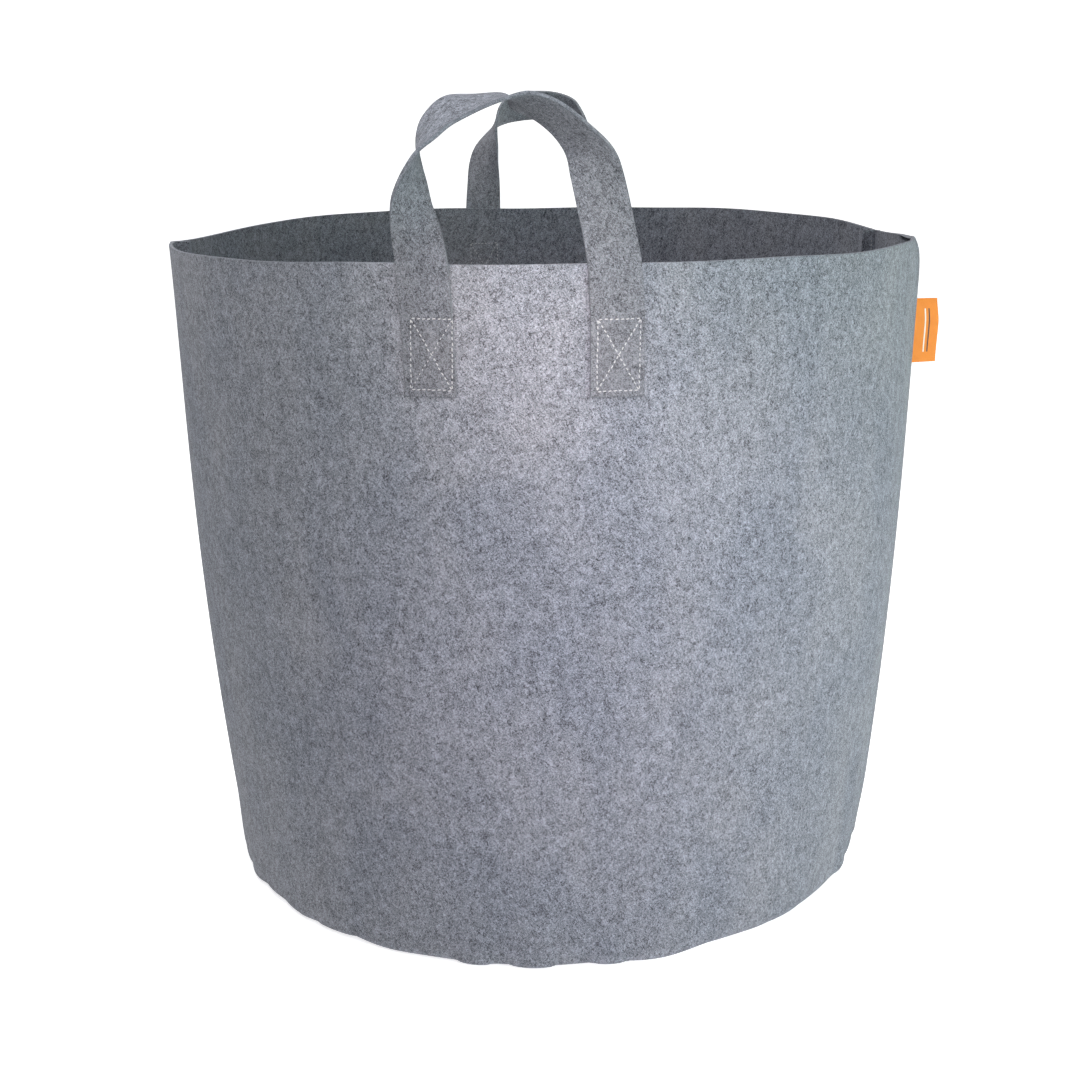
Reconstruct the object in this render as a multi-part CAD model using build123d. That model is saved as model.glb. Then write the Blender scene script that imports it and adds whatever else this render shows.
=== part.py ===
from build123d import *
import math
import os

# A round fabric grow bag of thick needle-punched felt: two wall panels, a round base, two strap handles,
# a folded ribbon label and the lockstitch threads that hold them together.
# Millimetres and degrees. +Z is up, -Y is the front, and the origin is the centre of the base's underside.
# Angles round the bag are measured from +X, anticlockwise seen from above.

# Driving dimensions
BAG_HEIGHT = 425.0
RIM_RADIUS = 250.0
BASE_RADIUS = 223.0
FELT = 2.5
SEAM_ALLOWANCE = 10.0
LEFT_SEAM = 180.0
RIGHT_SEAM = 14.0
STRAP_WIDTH = 30.0
LEG_SPACING = 100.0
HANDLE_RISE = 90.0
FRONT_HANDLE_CENTRE = -8.0
BACK_HANDLE_CENTRE = -5.0
BOX_TOP_BELOW_RIM = 28.5
BOX_HEIGHT = 38.0
BOX_WIDTH = 22.5
STRAP_BELOW_BOX = 4.0
LABEL_TOP_BELOW_RIM = 51.0
LABEL_HEIGHT = 45.0
LABEL_REACH = 50.0
LABEL_THICKNESS = 1.2
THREAD = 0.5
LAYER_GAP = 0.1

# Places worked out from them
HINGE_ABOVE_RIM = 2.0
HINGE_ROOM = 6.0
HINGE_OUT = RIM_RADIUS + LAYER_GAP + FELT / 2
HINGE_HEIGHT = BAG_HEIGHT + HINGE_ABOVE_RIM
BOX_TOP = BAG_HEIGHT - BOX_TOP_BELOW_RIM
STRAP_END_TOP = HINGE_HEIGHT - HINGE_ROOM
STRAP_END_BOTTOM = BOX_TOP - BOX_HEIGHT - STRAP_BELOW_BOX
THREAD_ROOM = THREAD + 2 * LAYER_GAP
ALLOWANCE_TOP = FELT + SEAM_ALLOWANCE
FLAP_BOTTOM = ALLOWANCE_TOP + 2 * LAYER_GAP
SEAM_LINE_DEPTH = FELT + 2.0
BASE_SEAM_HEIGHT = 2 * FELT
LABEL_TOP = BAG_HEIGHT - LABEL_TOP_BELOW_RIM
LABEL_TAIL = 8.0
FULL_TURN = 360.0


def wall_radius(height):
    """Outer radius of the tapered wall at a height."""
    return BASE_RADIUS + (RIM_RADIUS - BASE_RADIUS) * height / BAG_HEIGHT


def point(offset, height):
    """Profile point that lies the given offset outside the wall's outer face."""
    return (wall_radius(height) + offset, height)


def turned(points, start, end):
    """Solid made by turning a profile of (radius, height) points round the bag's axis."""
    profile = Plane.XZ * make_face(Polyline(*points, close=True))
    return Rot(0, 0, start) * revolve(profile, Axis.Z, end - start)


def layer(outside, inside, low, high, start=0.0, end=FULL_TURN):
    """Thin conical layer that follows the wall, between two offsets from its outer face."""
    corners = [point(outside, low), point(outside, high), point(inside, high), point(inside, low)]
    return turned(corners, start, end)


def upright(points, angle, near, far):
    """Flat plate in the vertical plane at an angle, between two distances to the anticlockwise side."""
    profile = Plane.XZ * make_face(Polyline(*points, close=True))
    plate = extrude(profile, amount=far - near, dir=(0, 1, 0))
    return Rot(0, 0, angle) * Pos(0, near, 0) * plate


def seam_flap(angle, side):
    """Seam allowance turned inward beside a side seam: side +1 is the anticlockwise side, -1 the other."""
    low, high = FLAP_BOTTOM, BAG_HEIGHT
    inner = -FELT - SEAM_ALLOWANCE
    corners = [point(-FELT / 2, low), point(-FELT / 2, high), point(inner, high), point(inner, low)]
    near, far = sorted((0.0, side * FELT))
    return upright(corners, angle, near, far)


def label_plate(grow):
    """The folded ribbon label as one flat plate held in the right seam, grown by a clearance."""
    low = LABEL_TOP - LABEL_HEIGHT - grow
    high = LABEL_TOP + grow
    root = -FELT - LABEL_TAIL - grow
    corners = [point(root, low), point(LABEL_REACH, low), point(LABEL_REACH, high), point(root, high)]
    half = LABEL_THICKNESS / 2 + grow
    return upright(corners, RIGHT_SEAM, -half, half)


def wall_panel(start, end):
    """Half of the wall, with its lower edge folded up inside and a flap beside each side seam."""
    fold_outside = -FELT - THREAD_ROOM
    fold_inside = fold_outside - FELT
    section = [
        point(0, 0),
        point(0, BAG_HEIGHT),
        point(-FELT, BAG_HEIGHT),
        point(-FELT, FELT),
        point(fold_outside, FELT),
        point(fold_outside, ALLOWANCE_TOP),
        point(fold_inside, ALLOWANCE_TOP),
        point(fold_inside, 0),
    ]
    panel = turned(section, start, end)
    panel = panel + seam_flap(start, 1) + seam_flap(end, -1)
    return panel - label_plate(LAYER_GAP)


def base_disc():
    """Round base with its edge turned up inside the wall's folded edge."""
    outside = -2 * FELT - THREAD_ROOM - LAYER_GAP
    inside = outside - FELT
    section = [
        (0, 0),
        point(outside, 0),
        point(outside, ALLOWANCE_TOP),
        point(inside, ALLOWANCE_TOP),
        point(inside, FELT),
        (0, FELT),
    ]
    return turned(section, 0, FULL_TURN)


def side_seam_thread(angle, side):
    """Straight thread along one face of a side seam's two flaps."""
    low, high = FLAP_BOTTOM + FELT, BAG_HEIGHT - FELT
    outer, inner = -SEAM_LINE_DEPTH, -SEAM_LINE_DEPTH - THREAD
    corners = [point(outer, low), point(outer, high), point(inner, high), point(inner, low)]
    near, far = sorted((side * (FELT + LAYER_GAP), side * (FELT + LAYER_GAP + THREAD)))
    return upright(corners, angle, near, far)


def base_seam_thread(outside):
    """Ring of thread through the two turned-up edges at the base."""
    return layer(outside, outside - THREAD, BASE_SEAM_HEIGHT, BASE_SEAM_HEIGHT + THREAD)


def strap_end(centre, facing):
    """Sewn-down end of a handle strap, lying on the wall; facing is -1 at the front, 1 at the back."""
    band = layer(LAYER_GAP + FELT, LAYER_GAP, STRAP_END_BOTTOM, STRAP_END_TOP)
    cutter = Pos(centre, facing * RIM_RADIUS, BAG_HEIGHT) * Box(STRAP_WIDTH, RIM_RADIUS, BAG_HEIGHT)
    return band & cutter


def box_stitch(centre, facing, outside):
    """Square of thread with a cross in it, lying on the face at an offset from the wall's outer face."""
    outline = Rectangle(BOX_WIDTH, BOX_HEIGHT) - Rectangle(BOX_WIDTH - 2 * THREAD, BOX_HEIGHT - 2 * THREAD)
    lean = math.degrees(math.atan2(BOX_HEIGHT, BOX_WIDTH))
    reach = math.hypot(BOX_WIDTH, BOX_HEIGHT) - 2 * THREAD
    pattern = outline + Rot(0, 0, lean) * Rectangle(reach, THREAD) + Rot(0, 0, -lean) * Rectangle(reach, THREAD)
    middle = BOX_TOP - BOX_HEIGHT / 2
    prism = extrude(Plane.XZ * pattern, amount=RIM_RADIUS, dir=(0, facing, 0))
    band = layer(outside, outside - THREAD, BOX_TOP - BOX_HEIGHT - 1, BOX_TOP + 1)
    return band & (Pos(centre, facing * RIM_RADIUS / 2, middle) * prism)


def handle_loop(centre, facing):
    """Free part of a handle: two legs and an arch, standing in one plane just outside the rim."""
    middle_radius = LEG_SPACING / 2
    outer = middle_radius + STRAP_WIDTH / 2
    inner = middle_radius - STRAP_WIDTH / 2
    arch_height = BAG_HEIGHT + HANDLE_RISE - outer
    leg_bottom = HINGE_HEIGHT + HINGE_ROOM
    leg_length = arch_height - leg_bottom
    ring = Circle(outer) - Circle(inner)
    upper_half = Pos(0, outer) * Rectangle(2 * outer, 2 * outer)
    outline = ring & upper_half
    for side in (-1, 1):
        outline += Pos(side * middle_radius, -leg_length / 2) * Rectangle(STRAP_WIDTH, leg_length)
    loop = extrude(Plane.XZ * outline, amount=FELT / 2, both=True)
    return Pos(centre, facing * HINGE_OUT, arch_height) * loop


def bag_parts():
    """Every piece of the bag, by name."""
    front_start, front_end = LEFT_SEAM, RIGHT_SEAM + FULL_TURN
    parts = {
        "front_panel": wall_panel(front_start, front_end),
        "back_panel": wall_panel(RIGHT_SEAM, LEFT_SEAM),
        "base_disc": base_disc(),
        "label": label_plate(0),
    }
    for name, angle in (("left", LEFT_SEAM), ("right", RIGHT_SEAM)):
        parts[f"{name}_seam_needle_thread"] = side_seam_thread(angle, -1)
        parts[f"{name}_seam_bobbin_thread"] = side_seam_thread(angle, 1)
    parts["base_seam_needle_thread"] = base_seam_thread(-3 * FELT - THREAD_ROOM - 2 * LAYER_GAP)
    parts["base_seam_bobbin_thread"] = base_seam_thread(-FELT - LAYER_GAP)
    for wall, centre, facing in (("front", FRONT_HANDLE_CENTRE, -1), ("back", BACK_HANDLE_CENTRE, 1)):
        parts[f"{wall}_handle_loop"] = handle_loop(centre, facing)
        for name, side in (("left", -1), ("right", 1)):
            leg = centre + side * LEG_SPACING / 2
            on_strap = 2 * LAYER_GAP + FELT + THREAD
            on_wall_inside = -FELT - LAYER_GAP
            parts[f"{wall}_handle_{name}_end"] = strap_end(leg, facing)
            parts[f"{wall}_{name}_box_needle_thread"] = box_stitch(leg, facing, on_strap)
            parts[f"{wall}_{name}_box_bobbin_thread"] = box_stitch(leg, facing, on_wall_inside)
    return parts


os.makedirs("parts", exist_ok=True)
for node, shape in bag_parts().items():
    export_step(shape, os.path.join("parts", f"{node}.step"))
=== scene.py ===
import math

import bpy
import numpy as np
from mathutils import Matrix, Vector


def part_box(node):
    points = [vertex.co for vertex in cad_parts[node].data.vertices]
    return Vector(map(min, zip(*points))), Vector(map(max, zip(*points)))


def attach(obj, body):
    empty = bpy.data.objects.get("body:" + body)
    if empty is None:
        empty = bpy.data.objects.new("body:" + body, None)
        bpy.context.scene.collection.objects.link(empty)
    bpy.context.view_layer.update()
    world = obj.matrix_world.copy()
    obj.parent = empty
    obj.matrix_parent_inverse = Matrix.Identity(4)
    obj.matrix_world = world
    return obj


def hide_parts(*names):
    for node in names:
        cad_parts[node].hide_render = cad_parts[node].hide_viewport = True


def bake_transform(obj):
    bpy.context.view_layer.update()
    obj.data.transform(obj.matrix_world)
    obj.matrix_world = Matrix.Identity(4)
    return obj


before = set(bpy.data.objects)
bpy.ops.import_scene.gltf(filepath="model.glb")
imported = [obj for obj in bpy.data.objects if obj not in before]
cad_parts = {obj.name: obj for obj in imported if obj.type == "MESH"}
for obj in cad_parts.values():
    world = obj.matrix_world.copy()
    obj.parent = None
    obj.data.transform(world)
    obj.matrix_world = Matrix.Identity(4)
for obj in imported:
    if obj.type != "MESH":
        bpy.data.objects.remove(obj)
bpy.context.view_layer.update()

# A felt grow bag. Everything is in metres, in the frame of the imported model: +Z up, -Y the front, and the
# origin at the centre of the base's underside. Angles round the bag run from +X, anticlockwise from above.
MM = 0.001
panel_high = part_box("front_panel")[1]
disc_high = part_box("base_disc")[1]
label_low, label_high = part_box("label")
strap_low, strap_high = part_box("front_handle_left_end")
needle_low, needle_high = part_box("front_left_box_needle_thread")

# Sizes from the frame
RIM_RADIUS = panel_high.x
WALL_HEIGHT = panel_high.z
STRAP_WIDTH = strap_high.x - strap_low.x
BOX_WIDTH = needle_high.x - needle_low.x
BOX_HEIGHT = needle_high.z - needle_low.z
LABEL_HEIGHT = label_high.z - label_low.z
RIGHT_SEAM = math.atan2(label_low.y, label_low.x)
LEFT_SEAM = math.pi

# Felt and sewing
FELT = 2.5 * MM
STRAP_FELT = 2.1 * MM
ALLOWANCE = 10 * MM
SEAM_ROUND = 3.0 * MM
LAYER_GAP = 0.04 * MM
STITCH_PITCH = 2.85 * MM
STITCH_LENGTH = 1.7 * MM
THREAD_RADIUS = 0.29 * MM
STITCH_LIFT = 0.20 * MM
# the second diagonal of the front left box lies sunk in the felt
SUNK_BOX = "front_left"
SUNK_LINE = 5
SUNK_DEPTH = 0.36 * MM

# Shape of the soft wall
BASE_RADIUS = disc_high.x + 8.5 * MM
ROLL_RADIUS = 6.5 * MM
SEAM_RADIUS = BASE_RADIUS - ROLL_RADIUS - SEAM_ROUND - 1 * MM
FRONT_RIM = WALL_HEIGHT - 6 * MM
SIDE_RIM = WALL_HEIGHT - 1.5 * MM
BACK_RIM = WALL_HEIGHT + 14 * MM
SEAM_START = ALLOWANCE + SEAM_ROUND * math.pi / 2
BULGE = 4.0 * MM
FRONT_FOLD = math.radians(-7)
FRONT_CREASE = math.radians(236)
# share of the thickness, and bulge in millimetres, of the rings of points along a cut edge
CUT_EDGE = ((0.12, 0.16), (0.5, 0.24), (0.88, 0.16))

# Points across and along a strap
STRAP_ROWS = 25
STRAP_COLUMNS = 320

# Stage: glow of the white floor, and strength of the even surround
FLOOR_GLOW = 0.68
SURROUND = 0.215

random_state = np.random.default_rng(20)


# ---------------------------------------------------------------- numbers

def smoothstep(low, high, value):
    """0 below low, 1 above high and a smooth rise between."""
    t = np.clip((value - low) / (high - low), 0, 1)
    return t * t * (3 - 2 * t)


def bell(value, middle, width):
    """Bump of height 1 at the middle."""
    return np.exp(-((value - middle) / width) ** 2)


def turn_from(theta, middle):
    """Smallest signed angle from middle to theta."""
    return (theta - middle + math.pi) % (2 * math.pi) - math.pi


def distance_along(points):
    """Distance of each point from the first, along the line through them."""
    return np.concatenate([[0], np.cumsum(np.linalg.norm(np.diff(points, axis=0), axis=1))])


def wobble(theta, seed, orders):
    """Smooth random wave round the bag, about 1 high."""
    source = np.random.default_rng(seed)
    total = np.zeros_like(theta)
    for order in orders:
        total = total + source.normal() * np.cos(order * theta + source.uniform(0, 2 * math.pi))
    return total / math.sqrt(len(orders))


# ---------------------------------------------------------------- the wall's shape

def make_pucker_table(count, seed):
    """Places of the small gathers round the base seam, and how far each stands out."""
    source = np.random.default_rng(seed)
    widths = source.uniform(0.55, 1.5, count)
    edges = np.concatenate([[0], np.cumsum(widths)]) / widths.sum() * 2 * math.pi
    return edges, source.uniform(0.25, 1.0, count)


PUCKER_EDGES, PUCKER_HEIGHTS = make_pucker_table(52, 7)
# middle and half width, in degrees round the bag, of the gathers that stand alone in the middle of the front
FRONT_GATHERS = ((234.0, 4.0), (259.3, 2.9), (268.4, 3.5), (280.2, 2.6))


def puckers(theta):
    """Rounded lobes with sharp notches between them, from 0 at a notch to 1."""
    around = theta % (2 * math.pi)
    index = np.clip(np.searchsorted(PUCKER_EDGES, around, side="right") - 1, 0, len(PUCKER_HEIGHTS) - 1)
    start, end = PUCKER_EDGES[index], PUCKER_EDGES[index + 1]
    share = (around - start) / (end - start)
    return PUCKER_HEIGHTS[index] * np.sqrt(np.clip(np.sin(math.pi * share), 0, 1))


def front_gathers(theta):
    """The few separate gathers in the middle of the front, from 0 between them to 1."""
    height = np.zeros_like(theta)
    for middle, half in FRONT_GATHERS:
        share = np.clip(np.abs(turn_from(theta, math.radians(middle))) / math.radians(half), 0, 1)
        height = np.maximum(height, np.sqrt(np.clip(np.cos(math.pi / 2 * share), 0, 1)))
    return height


def rim_height(theta):
    """Height of the cut rim: lowest at the front and highest at the back."""
    side = np.abs(np.cos(theta)) ** 5
    back = smoothstep(-0.15, 0.5, np.sin(theta))
    level = FRONT_RIM + (SIDE_RIM - FRONT_RIM) * side + (BACK_RIM - FRONT_RIM) * (1 - side) * back
    return level + 0.7 * MM * wobble(theta, 31, (5, 8, 13))


def make_meridian():
    """Outer line of the wall from the top of its turned-in edge, under the base, and up to the rim."""
    points = [(SEAM_RADIUS, SEAM_ROUND + ALLOWANCE * k / 5) for k in (5, 4, 3, 2, 1)]
    for k in range(7):
        angle = math.pi + math.pi / 2 * k / 6
        x = SEAM_RADIUS + SEAM_ROUND + SEAM_ROUND * math.cos(angle)
        points.append((x, SEAM_ROUND + SEAM_ROUND * math.sin(angle)))
    for k in range(1, 15):
        angle = -math.pi / 2 + math.pi / 2 * k / 14
        x = BASE_RADIUS - ROLL_RADIUS + ROLL_RADIUS * math.cos(angle)
        points.append((x, ROLL_RADIUS + ROLL_RADIUS * math.sin(angle)))
    rows = 108
    for k in range(1, rows + 1):
        share = k / rows
        x = BASE_RADIUS + (RIM_RADIUS - BASE_RADIUS) * share
        points.append((x, ROLL_RADIUS + (FRONT_RIM - ROLL_RADIUS) * share))
    top = points[-1]
    points.insert(-1, (top[0], top[1] - 0.6 * MM))
    return np.array(points)


MERIDIAN = make_meridian()
MERIDIAN_LENGTH = distance_along(MERIDIAN)


def meridian_normals():
    """Outward unit normal of the wall's outer line, as (radial, height)."""
    along = np.gradient(MERIDIAN, axis=0)
    normal = np.stack([along[:, 1], -along[:, 0]], axis=1)
    return normal / np.linalg.norm(normal, axis=1, keepdims=True)


MERIDIAN_NORMALS = meridian_normals()


def soft_offset(theta, height, rim):
    """How far the soft wall stands outside the plain cone, in metres."""
    share = np.clip(height / rim, 0, 1)
    leaning = 1.8 * MM * np.cos(theta) * smoothstep(0.0, 0.12, share) * (1.15 - share)
    offset = BULGE * np.sin(math.pi * share) ** 1.2 + leaning
    offset = offset + 2.2 * MM * wobble(theta, 3, (2, 3, 4)) * share * (1.2 - share)
    offset = offset + 1.6 * MM * wobble(theta + 0.5 * share, 11, (5, 7, 9)) * np.sin(math.pi * share)
    # gathers at the base seam, with long soft tails up the wall
    low = np.exp(-np.clip(height - 4 * MM, 0, None) / (13 * MM)) * smoothstep(-1 * MM, 3 * MM, height)
    tail = np.exp(-height / (75 * MM))
    at_front = smoothstep(0.75, 0.6, np.abs(turn_from(theta, math.radians(262))))
    gathers = puckers(theta) * (1 - at_front) + (0.85 + 0.75 * front_gathers(theta)) * at_front
    offset = offset + (gathers - 0.55) * (2.4 * MM * low + 0.4 * MM * tail)
    offset = offset + 1.8 * MM * wobble(theta, 5, (11, 14, 17, 23)) * np.exp(-height / (60 * MM)) * 0.7
    # upright creases from flat storage at the left seam and near the right side
    fade = 0.25 + 0.75 * share ** 1.5
    from_left = np.abs(turn_from(theta, LEFT_SEAM))
    from_right = np.abs(turn_from(theta, FRONT_FOLD))
    left = 9.0 * MM * np.exp(-from_left / 0.13) - 4.0 * MM * bell(from_left, 0, 0.42)
    right = 8.5 * MM * np.exp(-from_right / 0.11) - 4.6 * MM * bell(from_right, 0, 0.42)
    offset = offset + (left + right) * fade
    # the rim pulls in a little at the right-hand crease
    offset = offset - 5.5 * MM * np.exp(-(rim - height) / (7 * MM)) * bell(from_right, 0, 0.12)
    # the base is drawn in a little at both sides
    offset = offset - 2.2 * MM * np.abs(np.cos(theta)) ** 3 * np.exp(-height / (70 * MM))
    # one faint upright crease on the front wall, and a ridge just above the front of the base seam
    crease = bell(turn_from(theta, FRONT_CREASE), 0.02 * np.sin(9 * share), 0.012)
    offset = offset + 0.8 * MM * crease * smoothstep(0.45, 0.75, share) * smoothstep(1.0, 0.86, share)
    ridge = bell(height, 11 * MM, 3.5 * MM) * bell(turn_from(theta, math.radians(272)), 0, 0.42)
    return offset + 2.0 * MM * ridge


def wall_points(theta, row):
    """Points on the wall's outer face: arrays of angles and of row numbers of the same shape."""
    radius = MERIDIAN[row, 0]
    height = MERIDIAN[row, 1]
    normal = MERIDIAN_NORMALS[row]
    rim = rim_height(theta)
    stretch = (rim - ROLL_RADIUS) / (FRONT_RIM - ROLL_RADIUS)
    height = np.where(height > ROLL_RADIUS, ROLL_RADIUS + (height - ROLL_RADIUS) * stretch, height)
    free = smoothstep(SEAM_START, SEAM_START + 6 * MM, MERIDIAN_LENGTH[row])
    offset = soft_offset(theta, height, rim) * free
    radius = radius + offset * normal[..., 0]
    height = height + np.maximum(offset * normal[..., 1], -height)
    return radius, height, normal


def wall_radius_at(theta, height):
    """Outer radius of the wall at a height on its upright part."""
    rim = rim_height(theta)
    share = (height - ROLL_RADIUS) / (rim - ROLL_RADIUS)
    return BASE_RADIUS + (RIM_RADIUS - BASE_RADIUS) * share + soft_offset(theta, height, rim)


def wall_front(x, height, facing):
    """Y of the wall's outer face straight in front of (facing -1) or behind (1) a place on it."""
    y = facing * np.sqrt(RIM_RADIUS ** 2 - x ** 2)
    for _ in range(5):
        radius = wall_radius_at(np.arctan2(y, x), np.minimum(height, rim_height(np.arctan2(y, x))))
        y = facing * np.sqrt(np.maximum(radius ** 2 - x ** 2, 0))
    return y


# ---------------------------------------------------------------- mesh building

def grid_normals(points):
    """Unit normals of a grid of points."""
    across = np.gradient(points, axis=0)
    along = np.gradient(points, axis=1)
    normal = np.cross(across, along)
    length = np.linalg.norm(normal, axis=2, keepdims=True)
    return normal / np.maximum(length, 1e-12)


def quads(first, second, count_across, count_along, flip):
    """Faces of one grid of points numbered from first, second being the step from one column to the next."""
    i, j = np.meshgrid(np.arange(count_across - 1), np.arange(count_along - 1), indexing="ij")
    a = first + i * second + j
    faces = np.stack([a, a + second, a + second + 1, a + 1], axis=-1).reshape(-1, 4)
    return faces[:, ::-1] if flip else faces


def make_object(name, vertices, faces, material_numbers, cloth, materials):
    """Mesh object with smooth faces and a cloth attribute: the place on the flat cloth, in metres."""
    mesh = bpy.data.meshes.new(name)
    mesh.from_pydata([tuple(v) for v in vertices], [], [tuple(int(k) for k in f) for f in faces])
    for material in materials:
        mesh.materials.append(material)
    mesh.polygons.foreach_set("material_index", np.asarray(material_numbers, dtype=np.int32))
    mesh.polygons.foreach_set("use_smooth", np.ones(len(faces), dtype=bool))
    attribute = mesh.attributes.new("cloth", "FLOAT_VECTOR", "POINT")
    attribute.data.foreach_set("vector", np.asarray(cloth, dtype=np.float32).ravel())
    mesh.validate()
    mesh.update()
    thing = bpy.data.objects.new(name, mesh)
    bpy.context.scene.collection.objects.link(thing)
    return thing


def felt_sheet(name, outer, inner, cloth, materials):
    """Closed sheet between two grids of points, with a cut edge all round that bulges slightly."""
    across, along = outer.shape[:2]
    count = across * along
    side_inner = cloth + np.array([0, 0, 1.0])
    vertices = [outer.reshape(-1, 3), inner.reshape(-1, 3)]
    places = [cloth.reshape(-1, 3), side_inner.reshape(-1, 3)]
    faces = [quads(0, along, across, along, False), quads(count, along, across, along, True)]
    numbers = [np.zeros(len(faces[0])), np.zeros(len(faces[1]))]
    border = [(i, 0) for i in range(across)]
    border += [(across - 1, j) for j in range(1, along)]
    border += [(i, along - 1) for i in range(across - 2, -1, -1)]
    border += [(0, j) for j in range(along - 2, 0, -1)]
    border = np.array(border)
    outside = outer[border[:, 0], border[:, 1]]
    inside = inner[border[:, 0], border[:, 1]]
    inward_i = np.clip(border[:, 0], 1, across - 2)
    inward_j = np.clip(border[:, 1], 1, along - 2)
    away = outside - outer[inward_i, inward_j]
    away = away / np.maximum(np.linalg.norm(away, axis=1, keepdims=True), 1e-9)
    rings = [outside]
    for share, bulge in CUT_EDGE:
        rings.append(outside * (1 - share) + inside * share + away * bulge * MM)
    rings.append(inside)
    first = 2 * count
    ring_count = len(border)
    for number, ring in enumerate(rings):
        vertices.append(ring)
        edge_place = cloth[border[:, 0], border[:, 1]] + np.array([0, 0, 2.0 + number * FELT / 4])
        places.append(edge_place)
    k = np.arange(ring_count)
    following = (k + 1) % ring_count
    for number in range(len(rings) - 1):
        a = first + number * ring_count
        b = a + ring_count
        faces.append(np.stack([a + following, a + k, b + k, b + following], axis=1))
        numbers.append(np.ones(ring_count))
    outer_border = border[:, 0] * along + border[:, 1]
    merged = np.arange(first + ring_count * len(rings))
    merged[first:first + ring_count] = outer_border
    last = first + ring_count * (len(rings) - 1)
    merged[last:last + ring_count] = count + outer_border
    vertices = np.concatenate(vertices)
    places = np.concatenate(places)
    faces = merged[np.concatenate(faces)]
    used, packed = np.unique(faces, return_inverse=True)
    faces = packed.reshape(-1, 4)
    return make_object(name, vertices[used], faces, np.concatenate(numbers), places[used], materials)


def capsules(starts, ends, normals, radius, rise):
    """Vertices, faces and cloth places of many small stitches, each sinking into the felt at both ends."""
    profile = [(0.0, -1.6, 0.35), (0.06, -0.5, 0.85), (0.25, 0.0, 1.0), (0.5, 0.12, 1.05), (0.75, 0.0, 1.0),
               (0.94, -0.5, 0.85), (1.0, -1.6, 0.35)]
    sides = 8
    along = ends - starts
    length = np.linalg.norm(along, axis=1, keepdims=True)
    direction = along / np.maximum(length, 1e-9)
    sideways = np.cross(direction, normals)
    sideways = sideways / np.maximum(np.linalg.norm(sideways, axis=1, keepdims=True), 1e-9)
    upward = np.cross(sideways, direction)
    rings = []
    places = []
    for share, lift, fat in profile:
        centre = starts + along * share + upward * (lift * radius + rise)
        for k in range(sides):
            angle = 2 * math.pi * k / sides
            out = sideways * math.cos(angle) + upward * math.sin(angle) * 0.85
            rings.append(centre + out * radius * fat)
            round_about = np.full(len(starts), radius * angle)
            places.append(np.column_stack([length[:, 0] * share, round_about, np.zeros(len(starts))]))
    vertices = np.stack(rings, axis=1)
    cloth = np.stack(places, axis=1)
    cloth[..., 2] = np.arange(len(starts))[:, None] * 0.01
    per = vertices.shape[1]
    faces = []
    for ring in range(len(profile) - 1):
        for k in range(sides):
            a = ring * sides + k
            b = ring * sides + (k + 1) % sides
            faces.append((a, b, b + sides, a + sides))
    base = np.array(faces)
    all_faces = (base[None] + np.arange(len(starts))[:, None, None] * per).reshape(-1, 4)
    caps = [tuple(range(sides))[::-1], tuple(range(per - sides, per))]
    cap_faces = [tuple(k + n * per for k in cap) for n in range(len(starts)) for cap in caps]
    return vertices.reshape(-1, 3), [tuple(f) for f in all_faces] + cap_faces, cloth.reshape(-1, 3)


def stitch_object(name, starts, ends, normals, material, radius=THREAD_RADIUS, rise=0.0):
    """One object holding every stitch of one thread."""
    vertices, faces, cloth = capsules(starts, ends, normals, radius, rise)
    return make_object(name, vertices, faces, np.zeros(len(faces)), cloth, [material])


# ---------------------------------------------------------------- materials

def node(tree, kind, inputs=None, **settings):
    """New shader node, with its settings and its sockets' values or links."""
    made = tree.nodes.new(kind)
    for key, value in settings.items():
        setattr(made, key, value)
    for key, value in (inputs or {}).items():
        socket = made.inputs[key]
        if isinstance(value, bpy.types.NodeSocket):
            tree.links.new(value, socket)
        else:
            socket.default_value = value
    return made


def cloth_place(tree):
    """Place on the flat cloth, in millimetres."""
    place = node(tree, "ShaderNodeAttribute", attribute_name="cloth")
    values = {0: place.outputs["Vector"], 1: (1000, 1000, 1000)}
    return node(tree, "ShaderNodeVectorMath", values, operation="MULTIPLY").outputs[0]


def stretched_noise(tree, place, turn, stretch, scale, detail, distortion, rough=0.6):
    """Noise of threads lying one way on the cloth."""
    spread = (1, 1 / stretch, 1)
    values = {"Vector": place, "Rotation": (0, 0, math.radians(turn)), "Scale": spread}
    turned = node(tree, "ShaderNodeMapping", values, vector_type="TEXTURE")
    values = {"Vector": turned.outputs[0], "Scale": scale, "Detail": detail}
    values.update({"Roughness": rough, "Distortion": distortion})
    return node(tree, "ShaderNodeTexNoise", values).outputs[0]


def maths(tree, operation, first, second, clamp=False):
    """Result of one sum on two values."""
    values = {0: first, 1: second}
    return node(tree, "ShaderNodeMath", values, operation=operation, use_clamp=clamp).outputs[0]


def ramp(tree, value, stops):
    """Colour ramp from (place, colour) stops."""
    made = node(tree, "ShaderNodeValToRGB", {0: value})
    elements = made.color_ramp.elements
    elements[0].position, elements[0].color = stops[0][0], (*stops[0][1], 1)
    elements[1].position, elements[1].color = stops[-1][0], (*stops[-1][1], 1)
    for place, colour in stops[1:-1]:
        element = elements.new(place)
        element.color = (*colour, 1)
    return made.outputs[0]


def mix_colour(tree, share, first, second, blend="MIX"):
    """Colour between two colours."""
    made = node(tree, "ShaderNodeMix", data_type="RGBA", blend_type=blend)
    for socket, value in ((made.inputs[0], share), (made.inputs[6], first), (made.inputs[7], second)):
        if isinstance(value, bpy.types.NodeSocket):
            tree.links.new(value, socket)
        else:
            socket.default_value = value
    return made.outputs[2]


def new_material(name):
    """Material without nodes, and its node tree."""
    material = bpy.data.materials.new(name)
    material.use_nodes = True
    material.node_tree.nodes.clear()
    return material, material.node_tree


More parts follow.
